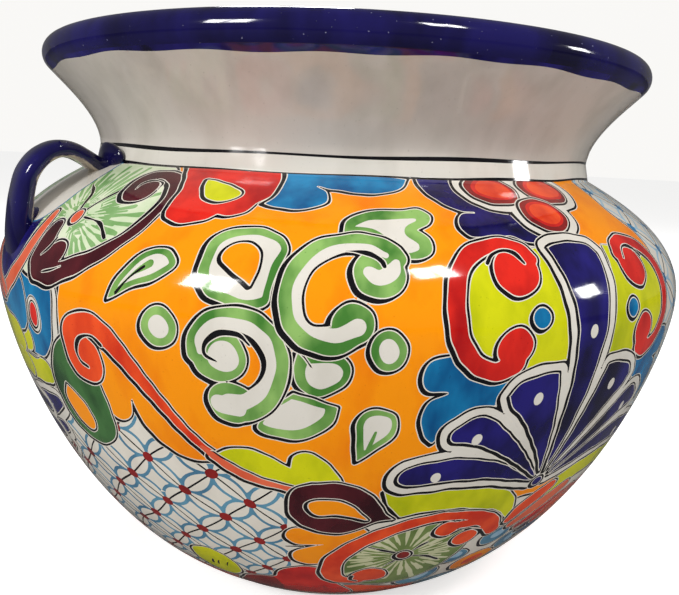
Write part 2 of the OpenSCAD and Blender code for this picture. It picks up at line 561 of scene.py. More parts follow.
# %% Clouds
def red_cloud(put):
    motif(put(outlined([(26, 287), (45, 287)], [(45, 287), (45.2, 276), (44.4, 266), (42.6, 260.5)],
                       [(42.6, 260.5), (41.6, 254.5), (39.8, 251.8), (37.9, 252.6)],
                       [(37.9, 252.6), (36.4, 248), (33.6, 245.8), (31, 247.8), (30, 252)],
                       [(30, 252), (29.6, 268), (26, 287)])), "red")
    motif(put(outlined([(32.6, 275.5), (35.6, 274), (38.6, 270), (39.7, 265.8), (38.6, 261.6),
                        (36.6, 260.4), (34.8, 262.2), (33.4, 268), (32.6, 275.5)])), "lime")


def blue_wave(put):
    motif(put(outlined([(44.8, 288), (65, 284)], [(65, 284), (63.6, 277), (61, 272), (57, 270.8),
                                                  (53, 272.6), (50.4, 275)],
                       [(50.4, 275), (52, 270.5), (52.2, 263.5), (50, 259), (46, 258.3), (43.4, 260.6)],
                       [(43.4, 260.6), (44.8, 267), (45.4, 276), (44.8, 288)])), "sky")


def cobalt_cloud(put):
    motif(put(outlined([(66.4, 286), (72, 288)], [(72, 288), (73, 274), (75, 268), (78, 264), (81, 261),
                                                  (81.4, 254), (81.6, 248), (81.8, 243)],
                       [(81.8, 243), (79, 243), (76.5, 246.5), (73.5, 246), (71, 246), (69.8, 250),
                        (69.9, 255.5), (71, 259.4), (73, 260.4)],
                       [(73, 260.4), (70.2, 262.3), (67.8, 269), (66.4, 277), (66.4, 286)])), "cobalt")


def berry_petals():
    petals = [oval(78.9, 277.5, 13.4, 11.4), oval(90.6, 278.5, 14, 11.4), oval(85.3, 260, 12.6, 11.2)]
    motif(joined(*petals).grow(4.6), "white")
    for p in petals:
        motif(p, "brick")
        coat(p.grow(-2.8).moved(0.8, 0.4), "red")
        coat(p.grow(-4.4).moved(1.4, 0.5), "flame")


for put in (same, far_side):
    red_cloud(put)
blue_wave(same)
cobalt_cloud(same)
berry_petals()
print("coats so far:", len(coats))

# %% [markdown]
# ## The fan
# Seven cobalt petals spread from one point between the handles, each with a white border and a white
# dot. The border is the union of the petals grown by a few millimetres, so it needs no outline of its
# own. Red C-scrolls on lime panels stand on both sides of the tall middle petal.

# %% Fan and its C-scrolls
def c_scroll(put):
    motif(put(outlined([(70.4, 196), (68.8, 206), (68.8, 222), (70.4, 236), (74, 240.5), (80.5, 241)],
                       [(80.5, 241), (81.4, 228), (82.6, 206), (83.4, 187)],
                       [(83.4, 187), (77, 189), (70.4, 196)])), "lime", ink=0.2)
    motif(put(joined(disc(75.6, 230, 10.6), disc(74.8, 199.5, 8.2),
                     stroke((78.3, 235.5, 6), (77.4, 240, 6.5), (75.2, 242.3, 7), (72.3, 241.3, 7.5),
                            (69.6, 236.4, 7.5), (67.9, 227.5, 7.5), (67.3, 215, 8), (68, 203, 8),
                            (70, 193.6, 8), (72.6, 189.6, 8.5), (75, 193, 11)))), "red")
    motif(put(disc(78.2, 210.8, 4.6)), "sky", ink=1.0)
    line(put, (71.9, 233.5, 1.1), (72.8, 237.3, 1.5), (74.5, 239.4, 1.5), (76, 238.2, 1.5),
         (77, 233.4, 0.9))


def blue_lobes(put):
    motif(put(outlined([(67.4, 197.5), (64.6, 195), (63.9, 187.5), (65, 182), (67.2, 181.3)],
                       [(67.2, 181.3), (65.2, 178), (64.5, 170), (65, 162), (66.4, 156.5)],
                       [(66.4, 156.5), (69, 168), (74, 175), (75, 184), (72, 192), (67.4, 197.5)])), "sky")


def lime_band(put):
    motif(put(outlined([(61.6, 130.5), (62.4, 122), (64.6, 113)],
                       [(64.6, 113), (68, 115.5), (72.5, 115.8), (77, 113), (81, 108), (84.6, 98)],
                       [(84.6, 98), (84.4, 108), (83, 117), (80, 124.5), (75.5, 129), (69, 131),
                        (61.6, 130.5)])), "lime")


petal_left = [
    stroke((64.6, 138.8, 11), (67.5, 140.8, 13), (72, 141.2, 12.5), (76.5, 138.3, 9.5), (80.6, 133, 5.5),
           (84.6, 126.6, 1.5)),
    stroke((70, 161, 9), (72.2, 162.2, 14), (74.8, 157.8, 11.5), (77.8, 150.5, 8.5), (81, 141, 5.5),
           (84.9, 129, 1.4)),
    outlined([(75.3, 178), (76.6, 184), (79, 186.4), (82, 186.8)],
             [(82, 186.8), (83, 172), (84.2, 156), (85.6, 131)],
             [(85.6, 131), (83.4, 143), (81, 154), (78.4, 165.5), (76, 173), (75.3, 178)]),
]
petal_tall = outlined([(81.6, 240.5), (83.5, 243), (86.5, 243), (89.3, 241.3), (90.3, 237)],
                      [(90.3, 237), (89.8, 222), (89, 204), (88.4, 185), (87.8, 162), (86.6, 130)],
                      [(86.6, 130), (85.6, 150), (84.8, 178), (84, 204), (82.9, 222), (81.6, 240.5)])
petals = petal_left + [by_fan(p) for p in petal_left] + [petal_tall]

for put in (same, by_fan):
    blue_lobes(put)
    lime_band(put)
    c_scroll(put)
motif(joined(*petals).grow(4.4), "white")
for p in petals:
    motif(p, "cobalt", ink=1.0, lean=(-0.6, -0.5))
for angle, v, r in ((68.2, 137.8, 2.6), (72.3, 157.6, 2.6), (79.7, 175.3, 2.9), (86.6, 203, 2.8),
                    (93.4, 175, 2.5), (100.7, 157.6, 2.5), (104.8, 137.8, 2.5)):
    coat(oval(angle, v, r * 0.9, r * 1.15), "white")
motif(disc(86.3, 124.2, 3.0), "cobalt", ink=1.2)
print("coats so far:", len(coats))

# %% [markdown]
# ## Green and white scrolls
# The scrolls on the orange ground are white with a green brushed edge. The white inside is the same
# shape, shrunk and shifted a little, so the green is wide on one side and almost gone on the other.

# %% Leaf scrolls
def green_edged(shape, band=2.6, band_lean=(0.8, -0.5), **how):
    motif(shape, "leaf", band=band * 1.25, band_lean=band_lean, inner="white", **how)


def leaf_scrolls(put):
    green_edged(put(outlined([(54.4, 246), (55, 253), (57.4, 259), (60.4, 260), (62.6, 261), (64.8, 261.6),
                              (66.1, 258), (65.6, 252.6), (64, 249.2)],
                             [(64, 249.2), (65.4, 245), (65.2, 238.5), (63.6, 235), (62, 234.2)],
                             [(62, 234.2), (58, 246), (54.4, 246)])), band=3.2, band_lean=(-1.2, -1.2))
    ring = outlined([(38.2, 231), (38.8, 239.5), (41.2, 245.6), (44.2, 246.6), (47, 243.6), (48.4, 237.5),
                     (47.6, 229), (47.2, 220), (46.6, 214), (43.6, 212), (40, 215.5), (38.4, 222.5)])
    hole = outlined([(44.6, 221), (42.8, 225.2), (40.9, 229.6), (40.8, 234), (42, 238.3), (43.9, 239),
                     (45.1, 235), (45.4, 228), (44.6, 221)])
    motif(put(ring), "leaf", band=3.4, band_lean=(0.8, 0), inner="white", lean=(-1.1, -0.8))
    motif(put(hole), "orange")
    green_edged(put(outlined([(50.2, 197.5), (54.4, 197.8), (56, 192), (55.4, 184), (52.8, 179.2),
                              (50.6, 182), (49.8, 190), (50.2, 197.5)])), band=2.8)
    line(put, (50.2, 199, 1.5), (51, 195.5, 1.2), (51.8, 191.5, 0.6), bare=0.45)
    green_edged(put(outlined([(49.8, 180.5), (52, 178), (54.9, 174.8)],
                             [(54.9, 174.8), (54.3, 167), (52, 160), (48.6, 158.2),
                              (45.4, 162), (47, 172), (49.8, 180.5)])), band=2.4, band_lean=(-1.4, 1.2))
    low = joined(disc(41.4, 193.2, 11.3), disc(42.6, 173, 9.6),
                 stroke((38.9, 193, 8.5), (39, 200.5, 8.5), (41, 206.8, 9), (44.4, 207.8, 9.5),
                        (47.2, 201.5, 9.5), (48.1, 191, 9), (47.3, 180.5, 10), (45, 172.5, 13),
                        (42.8, 171.5, 14)))
    pale = joined(stroke((39.3, 194, 3), (39.5, 200, 5), (41.3, 205, 5.4), (44, 205.8, 5.4),
                         (46.5, 200.6, 5.2), (47.2, 191, 5.2), (46.4, 181.4, 5.6), (44.5, 174.6, 7),
                         (42.6, 173, 9)),
                  disc(41.9, 192.8, 6.4), stroke((41.2, 172, 8), (43.4, 170.5, 7)))
    motif(put(low), "leaf", band=put(pale), inner="white", lean=(-1.2, -0.9))
    line(put, (41.2, 190.6, 0.9), (39.8, 193.2, 1.9), (40, 198, 2.4), (41.6, 202.3, 2.2),
         (43.7, 202.4, 1.9), (45, 198.6, 1.5), bare=0.45)
    high = joined(disc(58.8, 228.6, 10.2), disc(56, 208.6, 8.2),
                  stroke((61, 234.5, 8), (59.6, 239.8, 8.5), (56.6, 241.8, 9), (53, 239.4, 9),
                         (50.3, 231.8, 9), (49.1, 220, 9), (49.5, 209.5, 9), (51.4, 202.8, 9.5),
                         (54.2, 202.4, 11.5), (56.4, 207, 12)))
    pale = joined(stroke((59.6, 236.4, 2.4), (57.4, 239.4, 3.4), (55, 238.9, 4.6), (53.2, 236.4, 5.2),
                         (51.3, 230, 5.8), (50.2, 219.5, 5.8), (50.6, 210.5, 5.4), (52.2, 205.8, 4.8),
                         (54.2, 204.6, 5.4), (56.4, 207.6, 7)),
                  stroke((57.6, 229, 5.2), (58.8, 226.4, 6), (60.3, 229.6, 5.6), (60.8, 233.2, 3)))
    motif(put(high), "leaf", band=put(pale), inner="white", lean=(-1.2, -0.9))
    line(put, (55, 237.6, 0.9), (56.4, 237.6, 1.6), (57.9, 236.4, 1.8), (59, 234, 1.5), (59.4, 231.4, 0.8),
         bare=0.45)


def green_drops(put):
    green_edged(put(outlined([(26.8, 209.5), (27.8, 219.5), (29.8, 228.5), (31.9, 233.2), (34, 232.6),
                              (35.2, 228.6), (35, 224.6), (33.2, 220), (30.6, 216), (26.8, 209.5)])),
                band=2.0, band_lean=(0.2, 0))
    green_edged(put(outlined([(57.4, 148), (57.2, 158), (56.9, 167), (57.8, 172.6), (59.6, 174.3),
                              (61.4, 171.8), (61.9, 165.5), (60.9, 158.5), (57.4, 148)])), band=1.9,
                band_lean=(0.2, 0))
    coat(put(stroke((28, 213, 0.8), (29.8, 220.5, 1.0), (31.9, 226, 3.2))), "leaf")
    coat(put(stroke((28, 212.5, 0.8), (29.6, 219.5, 0.9), (31.2, 224.5, 0.6))), "ink")
    coat(put(stroke((58.5, 153, 1.5), (59, 158, 2.4), (59.4, 163.5, 1))), "leaf")
    green_edged(put(oval(34.1, 201.6, 8.3, 8.3)), band=2.6, band_lean=(0, 0))
    green_edged(put(oval(60, 199, 7.2, 8.2)), band=2.4, band_lean=(0, 0))


leaf_scrolls(same)
green_drops(same)
leaf_scrolls(low_scrolls)
green_drops(low_drops)
print("coats so far:", len(coats))

# %% [markdown]
# ## Below the fan
# A maroon ring with an orange drop, a two-lobed lime leaf, orange lobes, an orange-red rosette on both
# sides, blue and orange flowers and a bunch of bright feathers fill the belly down to the foot.

# %% Rosettes and lobes
def lower_left_group(put):
    motif(put(joined(stroke((50.2, 97, 14), (58, 100, 15)), stroke((51.6, 79.5, 17), (57, 86, 18)))),
          "orange")
    line(put, (50.6, 88.4, 1.6), (49.2, 88.2, 1.2), (47.8, 87.4, 0.8), bare=0.3)
    low_lobe = outlined([(43.8, 49), (45, 57), (47.4, 64.5), (50.5, 67.8), (54, 66), (56, 50), (60, 20),
                         (34, 14), (36, 38), (40, 46)])
    motif(put(low_lobe), "red")
    coat(put(within(oval(38, 32, 15, 30), low_lobe.grow(-0.5))), "brick")
    motif(put(oval(31.6, 52.5, 13, 17)), "lime")
    for a in (30, 31.4, 33.4):
        coat(put(stroke((a, 48, 0.6), (a + 0.5, 52, 1.1), (a + 1.2, 56, 0.5))), "ink")
    motif(put(outlined([(39.4, 144.8), (42, 150.6), (44.6, 150.8), (47.2, 147), (49.3, 143)],
                       [(49.3, 143), (49.6, 149.6), (51.3, 151.8), (53.4, 148.4), (55.2, 141),
                        (56.1, 134.5)],
                       [(56.1, 134.5), (52, 131), (46, 132.5), (39.4, 144.8)])), "lime")
    motif(put(stroke((39.2, 144, 4), (41.6, 138.6, 4.8), (45, 133.6, 4.8), (49.4, 130, 3.6))), "salmon")
    coat(put(stroke((37.9, 148.6, 2.4), (39.2, 144.6, 3.4), (41.6, 138.6, 3.8))), "salmon")
    motif(put(outlined([(52, 134.8), (56, 135.3), (59, 131.5), (61, 124.5), (62.3, 117), (63.8, 111.5)],
                       [(63.8, 111.5), (61, 109.5), (58, 103), (54.4, 101.2), (51, 105), (48.9, 113),
                        (48.7, 123), (49.8, 130.5), (52, 134.8)])), "maroon")
    motif(put(outlined([(60, 111.5), (58.6, 117), (56.8, 122.8), (54, 125.2), (51.8, 122.6), (51.6, 117.6),
                        (53, 114.2), (56, 114.6), (60, 111.5)])), "orange", ink=1.0)


def rosette(put):
    field = outlined([(57.4, 50), (57, 68), (58.6, 86), (62.6, 99), (69, 107.5), (76, 105), (79, 90),
                      (78, 70), (74, 50), (66, 42)])
    motif(put(field), "olive")
    coat(put(within(rays(67.5, 80, 7, 26, 0, 346, 26, 1.7), field.grow(-1.5))), "cream")
    coat(put(within(rays(67.5, 80, 15, 33, 6, 354, 24, 2.4), field.grow(-1.5))), "cream")
    for rib in (((65.8, 83, 1.2), (63.4, 86, 1.4), (61, 89.5, 1.0)),
                ((68.8, 84, 1.2), (69.8, 88, 1.4), (70.8, 90.5, 1.0)),
                ((66.6, 76, 1.2), (65.4, 71.5, 1.3), (64.6, 69, 1.0)),
                ((69, 78.5, 1.2), (72, 76, 1.3), (75, 70, 1.0))):
        line(put, *rib, bare=0.3)
    motif(put(oval(67.5, 80, 3.6, 3.9)), "brick", ink=1.1)
    motif(put(joined(stroke((60.5, 51, 10), (57.6, 51, 9), (55.7, 57, 9.5), (55.2, 67, 10),
                            (56.2, 79.5, 9.5), (59, 91.5, 8.5), (63.2, 102, 8), (68, 108.8, 7),
                            (72.5, 110.5, 6.5), (77, 107.5, 8), (80.8, 100.5, 11), (83, 91, 9)),
                     disc(62.7, 58, 8.8), disc(73, 99.8, 6), disc(77.7, 89.2, 6.8),
                     stroke((73, 102, 6), (76.5, 102, 7), (80.5, 98, 8)))), "flame")
    line(put, (59.4, 57, 1.6), (59.3, 52, 1.5), (60.6, 49.4, 0.8), bare=0.4)
    line(put, (74.4, 94.5, 0.8), (75.8, 97.6, 1.3), (78, 98.3, 1.2), (79.6, 96, 0.6), bare=0.4)


def low_flower(put):
    for angle, v, across, up in ((78.4, 68.5, 9, 7.5), (73.5, 48, 11, 15), (85.5, 82, 9, 8.5),
                                 (92, 70, 9, 10), (82, 30, 12, 10), (94, 42, 11, 12)):
        motif(put(oval(angle, v, across, up)), "slate")
        coat(put(oval(angle + 0.5, v + 1, across * 0.45, up * 0.45)), "haze")
    motif(put(oval(86, 54, 13, 12)), "orange")
    coat(put(oval(86.2, 54.5, 6, 6)), "flame")


def feathers():
    """The bright bunch of petals at the right foot of the fan."""
    for points, colour in ((((85.6, 96, 6), (87.4, 106, 11), (91, 116, 9)), "flame"),
                           (((87.6, 90, 6), (92, 101, 12), (96.5, 110, 9)), "salmon"),
                           (((90.5, 85, 6), (96, 94, 11), (101, 102, 9)), "red"),
                           (((93, 79, 6), (99, 87, 11), (105, 94, 8)), "cobalt"),
                           (((95, 72, 6), (101, 78, 10), (108, 84, 8)), "sky")):
        motif(stroke(*points), colour)


low_flower(same)
lower_left_group(same)
rosette(same)
feathers()
rosette(far_rosette)
print("coats so far:", len(coats))

# %% [markdown]
# ## Collar, neck and handle patches
# The painter leaves the collar and the neck white, between two black brush lines, and dips the lip and
# the top of the neck in cobalt. The neck takes a greyer white than the collar here. It stands in for the
# shade under a flare, which soft light from all sides doesn't give. Under each handle a white patch stays
# free, with a thin blue edge.

# %% Collar lines
def lower_level(a):
    return 286.2 - 1.6 * np.cos(2 * (a - 45) * DEG) + 0.35 * np.sin(2 * 7 * a * DEG)


def upper_level(a):
    return 294.7 - 1.5 * np.cos(2 * (a - 40) * DEG) + 0.3 * np.sin(2 * 5 * a * DEG + 1)


def dip_level(a):
    return 340.4 + 0.8 * np.sin(2 * 3 * a * DEG) + 0.5 * np.sin(2 * 11 * a * DEG + 1)


def ring_line(level, width):
    """A brush line all the way round, thicker in some places than in others."""
    heights = level(np.arange(PERIOD))
    return Shape(lambda a, v: np.abs(v - level(a)) - width / 2 * (1 + 0.3 * np.sin(2 * 3 * a * DEG)),
                 (-0.5, PERIOD + 0.5), (heights.min() - 3, heights.max() + 3))


coat(outlined([(-5.6, 246), (-6.2, 226), (-4.5, 208), (0, 201), (4.5, 208), (6.2, 226), (5.6, 246),
               (0, 250)]), "cobalt")
patch = outlined([(-7, 290), (-8, 264), (-7, 244), (-3, 236), (3, 236), (7, 244), (8, 264), (7, 290)],
                 [(7, 290), (-7, 290)])
coat(patch.grow(1.0), "sky")
coat(patch, "white")
for put in (same, far_side):
    motif(put(stroke((8.4, 243, 5), (8.6, 234, 7.5), (8, 224, 8), (6.3, 214, 8.5), (3, 205, 8),
                     (0, 199, 7))), "salmon")
coat(above(lower_level, 280), "white")
# The neck's greyer white is painted shade under the flare.
coat(above(upper_level, 288), "neck_white")
coat(ring_line(lower_level, 1.5), "ink")
coat(ring_line(upper_level, 1.5), "ink")
coat(above(dip_level, 336), "cobalt")
print("coats in all:", len(coats))

# %% [markdown]
# ## From distances to outlines
# Each coat's edge is where its distance is zero. Walking a fine grid and joining the places where the
# sign changes gives that edge as a chain of points. The chain is then thinned: a point stays for every
# few millimetres and for every few degrees of turn, so straight parts are cheap and curls stay round. The
# low half of the pot is thinned more, because its lattice has the most edges.

# %% Edges of the coats
def measured(shape, a, v, block=6000):
    """The distances of many points, a block at a time so that memory stays small."""
    return np.concatenate([shape.distance(a[i:i + block], v[i:i + block]) for i in range(0, len(a), block)])


def sampled(shape):
    """A coat's distances on a grid. Cells far from the edge keep the value of a coarse grid."""
    (a0, a1), (v0, v1) = shape.angles, shape.lengths
    across = radius_at((v0 + v1) / 2) * DEG
    step = 0.5 if (a1 - a0) * across * (v1 - v0) < 3500 else 0.8
    a = np.linspace(a0, a1, int((a1 - a0) * across / step) + 3)
    v = np.linspace(v0, v1, int((v1 - v0) / step) + 3)
    coarse_a, coarse_v = a[3::7], v[3::7]
    if len(coarse_a) < 3 or len(coarse_v) < 3:
        aa, vv = np.meshgrid(a, v)
        return a, v, measured(shape, aa.ravel(), vv.ravel()).reshape(aa.shape)
    ca, cv = np.meshgrid(coarse_a, coarse_v)
    rough = measured(shape, ca.ravel(), cv.ravel()).reshape(ca.shape)
    near_a = np.clip(np.arange(len(a)) // 7, 0, len(coarse_a) - 1)
    near_v = np.clip(np.arange(len(v)) // 7, 0, len(coarse_v) - 1)
    found = rough[near_v][:, near_a]
    close = np.abs(found) < 9 * step
    close[-7:], close[:, -7:] = True, True
    vi, ai = np.nonzero(close)
    found[vi, ai] = measured(shape, a[ai], v[vi])
    return a, v, found


def edge_chains(shape):
    """The edge of a coat as chains of (angle, v) points, found cell by cell."""
    a, v, d = sampled(shape)
    d = np.where(d == 0, 1e-6, d)
    cols = d.shape[1]
    side, points, links = d > 0, {}, {}
    j, i = np.nonzero(side[:, 1:] != side[:, :-1])
    t = d[j, i] / (d[j, i] - d[j, i + 1])
    for key, x, y in zip((j * cols + i) * 2, a[i] + t * (a[1] - a[0]), v[j]):
        points[key] = (x, y)
    j, i = np.nonzero(side[1:] != side[:-1])
    t = d[j, i] / (d[j, i] - d[j + 1, i])
    for key, x, y in zip((j * cols + i) * 2 + 1, a[i], v[j] + t * (v[1] - v[0])):
        points[key] = (x, y)
    mixed = side[1:, 1:] != side[:-1, :-1]
    mixed |= side[1:, :-1] != side[:-1, 1:]
    mixed |= side[1:, 1:] != side[1:, :-1]
    for j, i in zip(*np.nonzero(mixed)):
        here = (j * cols + i) * 2
        keys = [k for k in (here, here + 1, here + 2 * cols, here + 3) if k in points]
        if len(keys) == 4:
            low, left, high, right = keys
            same_corner = (d[j, i] > 0) == (d[j:j + 2, i:i + 2].mean() > 0)
            pairs = ((low, right), (high, left)) if same_corner else ((low, left), (high, right))
        else:
            pairs = (keys,) if len(keys) == 2 else ()
        for p, q in pairs:
            links.setdefault(p, []).append(q)
            links.setdefault(q, []).append(p)
    chains, used = [], set()
    for first in sorted(links, key=lambda k: len(links[k])):
        if first in used:
            continue
        chain, key = [first], first
        used.add(first)
        while True:
            ahead = [k for k in links[key] if k not in used]
            if not ahead:
                break
            key = ahead[0]
            used.add(key)
            chain.append(key)
        closed = len(chain) > 2 and first in links[key]
        chains.append((np.array([points[k] for k in chain]), closed))
    return chains


def thinned(chain, closed):
    """The chain smoothed twice, and then only the points that its shape needs."""
    p = np.array(chain)
    gap, turn = (3.0, 12) if p[:, 1].mean() > 150 else (4.6, 23)    # millimetres and degrees
    scale = np.array([radius_at(p[:, 1].mean()) * DEG, 1])
    for _ in range(2):
        if closed:
            p = (np.roll(p, 1, 0) + 2 * p + np.roll(p, -1, 0)) / 4
        elif len(p) > 2:
            p[1:-1] = (p[:-2] + 2 * p[1:-1] + p[2:]) / 4
    q = np.concatenate([p, p[:1]]) if closed else p
    step = np.diff(q, axis=0) * scale
    length = np.hypot(*step.T)
    heading = np.unwrap(np.arctan2(step[:, 1], step[:, 0]))
    bend = np.concatenate([[0], np.abs(np.diff(heading))])
    count = np.floor(np.cumsum(length / gap + bend / (turn * DEG)))
    keep = np.concatenate([[True], np.diff(count) > 0])
    if not closed:
        keep = np.append(keep, True)
    if closed and keep.sum() < 5:
        keep[::max(len(p) // 6, 1)] = True
    return p[:len(keep)][keep[:len(p)]]


edges_found = []
for number, (shape, colour) in enumerate(coats):
    for chain, closed in edge_chains(shape):
        if len(chain) > 5:
            edges_found.append((number, thinned(chain, closed), closed))
print("edge chains:", len(edges_found), "with", sum(len(c) for _, c, _ in edges_found), "points")

# %% [markdown]
# ## Hidden edges
# A coat's edge that lies under a later coat is never seen, so its points are dropped. Each point is
# tried against every later coat whose box holds it.

# %% Visible edges only
boxes = np.array([(*s.angles, *s.lengths) for s, _ in coats])


def shifts(low, high, margin=0.0):
    """Whole periods that bring a span of angles into the painted half turn."""
    turns = (-PERIOD, 0, PERIOD)
    return [turn for turn in turns if low + turn < PERIOD + margin and high + turn > -margin]


chains = []
for number, points, closed in edges_found:
    hidden = np.zeros(len(points), bool)
    for shift in (-PERIOD, 0, PERIOD):
        low, high = points.min(0) + (shift, 0), points.max(0) + (shift, 0)
        later = np.nonzero((boxes[:, 0] < high[0]) & (boxes[:, 1] > low[0]) & (boxes[:, 2] < high[1])
                           & (boxes[:, 3] > low[1]) & (np.arange(len(boxes)) > number))[0]
        for k in later:
            a, v = points[:, 0] + shift, points[:, 1]
            b = boxes[k]
            test = np.nonzero(~hidden & (a > b[0]) & (a < b[1]) & (v > b[2]) & (v < b[3]))[0]
            if len(test):
                hidden[test] = coats[k][0].distance(a[test], v[test]) < -0.25
    seen = ~hidden
    if closed:
        keep = seen | np.roll(seen, 1) | np.roll(seen, -1)
    else:
        keep = seen | np.append(seen[1:], False) | np.append(False, seen[:-1])
    links = [(i, (i + 1) % len(points)) for i in range(len(points) if closed else len(points) - 1)]
    links = [(i, j) for i, j in links if keep[i] and keep[j] and (seen[i] or seen[j])]
    if links:
        chains.append((points, links))
print("visible edges:", sum(len(e) for _, e in chains))

# %% [markdown]
# ## Cutting the skin
# The visible edges, the seams between the clay pieces and a loose grid of points are given to a
# constrained triangulation. Its triangles never cross an edge, so each one has one colour. The colour is
# that of the last coat that covers the triangle's middle.

# %% Triangles of the skin
FLAT_R = 170                      # the radius at which degrees count as millimetres while cutting
cut_points, cut_edges = [], []


def add_run(points, links):
    """Adds points and the edges between them, without those outside the half turn."""
    a, v = points.T
    inside = (a > -2) & (a < PERIOD + 2) & (v > -2) & (v < TOP_V + 2)
    names = np.cumsum(inside) - 1 + len(cut_points)
    cut_points.extend(map(tuple, points[inside]))
    cut_edges.extend((int(names[i]), int(names[j])) for i, j in links if inside[i] and inside[j])


for points, links in chains:
    for shift in shifts(points[:, 0].min(), points[:, 0].max(), 2):
        add_run(points + (shift, 0), links)
taken = set()
for a, v in cut_points:
    taken.add((round(a * 2), round(v / 1.5)))
border = np.arange(-1.5, TOP_V + 3, 3.6)
for a in (0.0, float(PERIOD)):
    add_run(np.stack([np.full_like(border, a), border], -1), [(i, i + 1) for i in range(len(border) - 1)])
across = np.arange(-1.5, PERIOD + 1.6, 1.5)
for v in SEAMS:
    add_run(np.stack([across, np.full_like(across, v)], -1), [(i, i + 1) for i in range(len(across) - 1)])
for i, v in enumerate(np.arange(2.1, TOP_V, 3.9)):
    if min(abs(v - s) for s in SEAMS) <= 1:
        continue
    for a in np.arange(0.75 + 0.75 * (i % 2), PERIOD, 1.5):
        column, row = round(a * 2), round(v / 1.5)
        if not any((column + x, row + y) in taken for x in (-1, 0, 1) for y in (-1, 0, 1)):
            cut_points.append((a, v))
flat_points = [Vector((a * DEG * FLAT_R, v)) for a, v in cut_points]
found = delaunay_2d_cdt(flat_points, cut_edges, [], 0, 1e-5, False)
skin_av = np.array([(p.x / FLAT_R / DEG, p.y) for p in found[0]])
triangles = np.array(found[2])
middle = skin_av[triangles].mean(1)
keep = (middle[:, 0] > 0) & (middle[:, 0] < PERIOD) & (middle[:, 1] > 0) & (middle[:, 1] < TOP_V)
triangles, middle = triangles[keep], middle[keep]
print("skin triangles in the half turn:", len(triangles))

# %% [markdown]
# Each triangle now takes its colour. The coats are tried in the painter's order, and each one takes over
# the triangles whose middle it covers, as wet glaze covers what is under it.

# %% Colour of every triangle
GLAZE_NAMES = ["bare"] + sorted({colour for _, colour in coats} - {"bare"})
colour_of = np.zeros(len(triangles), int)
for shape, colour in coats:
    (a0, a1), (v0, v1) = shape.angles, shape.lengths
    for shift in shifts(a0, a1):
        a, v = middle[:, 0] - shift, middle[:, 1]
        inside = np.nonzero((a > a0) & (a < a1) & (v > v0) & (v < v1))[0]
        if len(inside):
            covered = measured(shape, a[inside], v[inside]) < 0
            colour_of[inside[covered]] = GLAZE_NAMES.index(colour)
for i, name in enumerate(GLAZE_NAMES):
    print(name, (colour_of == i).sum(), end="; ")
print()

# %% [markdown]
# ## Glazes
# Majolica glaze is glass over an opaque white ground, so every colour is glossy, with brush streaks
# where the pigment lies thinner. Each glaze mixes two close tones by a stretched noise, adds a fine
# speckle, and has a slow ripple as a bump, which is what bends the highlights on a hand-glazed pot. All
# of it reads the object's own space, so nothing slides when the pot turns.

# %% Glaze materials
def srgb(r, g, b):
    """A colour given as it looks on a screen, from 0 to 255, as the shader wants it."""
    def channel(c):
        c /= 255
        return c / 12.92 if c <= 0.04045 else ((c + 0.055) / 1.055) ** 2.4
    return (*map(channel, (r, g, b)), 1)


def node(tree, kind, **settings):
    """A shader node with its sockets and properties set by name."""
    n = tree.nodes.new("ShaderNode" + kind)
    for name, value in settings.items():
        if name in n.inputs:
            n.inputs[name].default_value = value
        else:
            setattr(n, name, value)
    return n


def noise(tree, scale, detail=2.0, stretch=(1, 1, 1)):
    """Noise in the object's own space, stretched along an axis if asked. Returns its height socket."""
    spot = tree.nodes.new("ShaderNodeTexCoord")
    shift = tree.nodes.new("ShaderNodeMapping")
    shift.inputs["Scale"].default_value = stretch
    cloud = tree.nodes.new("ShaderNodeTexNoise")
    cloud.inputs["Scale"].default_value = scale
    cloud.inputs["Detail"].default_value = detail
    tree.links.new(spot.outputs["Object"], shift.inputs["Vector"])
    tree.links.new(shift.outputs["Vector"], cloud.inputs["Vector"])
    return cloud.outputs["Fac"]


def between(tree, height, low, high, first, second):
    """A colour that goes from the first to the second while the height goes from low to high."""
    part = node(tree, "MapRange")
    part.inputs["From Min"].default_value = low
    part.inputs["From Max"].default_value = high
    mix = tree.nodes.new("ShaderNodeMix")
    mix.data_type = "RGBA"
    tree.links.new(height, part.inputs["Value"])
    tree.links.new(part.outputs["Result"], mix.inputs["Factor"])
    for socket, value in ((mix.inputs[6], first), (mix.inputs[7], second)):
        if isinstance(value, tuple):
            socket.default_value = value
        else:
            tree.links.new(value, socket)
    return mix.outputs[2]


def glaze(name, light, dark, share=0.5, roughness=0.09, ripple=0.035, streak=60.0):
    """One glaze. Share says how much of it takes the darker tone."""
    material = bpy.data.materials.new(name)
    material.use_nodes = True
    tree = material.node_tree
    surface = tree.nodes["Principled BSDF"]
    streaks = noise(tree, streak, 3.0, (1, 1, 0.45))
    colour = between(tree, streaks, 0.62 - share * 0.5, 0.92 - share * 0.5, light, dark)
    speck = noise(tree, 900.0, 1.0)
    shade = tuple(0.82 * c for c in dark[:3]) + (1,)
    colour = between(tree, speck, 0.70, 0.90, colour, shade)
    tree.links.new(colour, surface.inputs["Base Color"])
    surface.inputs["Roughness"].default_value = roughness
    surface.inputs["IOR"].default_value = 1.46
    surface.inputs["Coat Weight"].default_value = 0.1
    surface.inputs["Coat Roughness"].default_value = 0.04
    bump = tree.nodes.new("ShaderNodeBump")
    bump.inputs["Strength"].default_value = ripple
    bump.inputs["Distance"].default_value = 0.01
    tree.links.new(noise(tree, 42.0, 1.5), bump.inputs["Height"])
    tree.links.new(bump.outputs["Normal"], surface.inputs["Normal"])
    return material


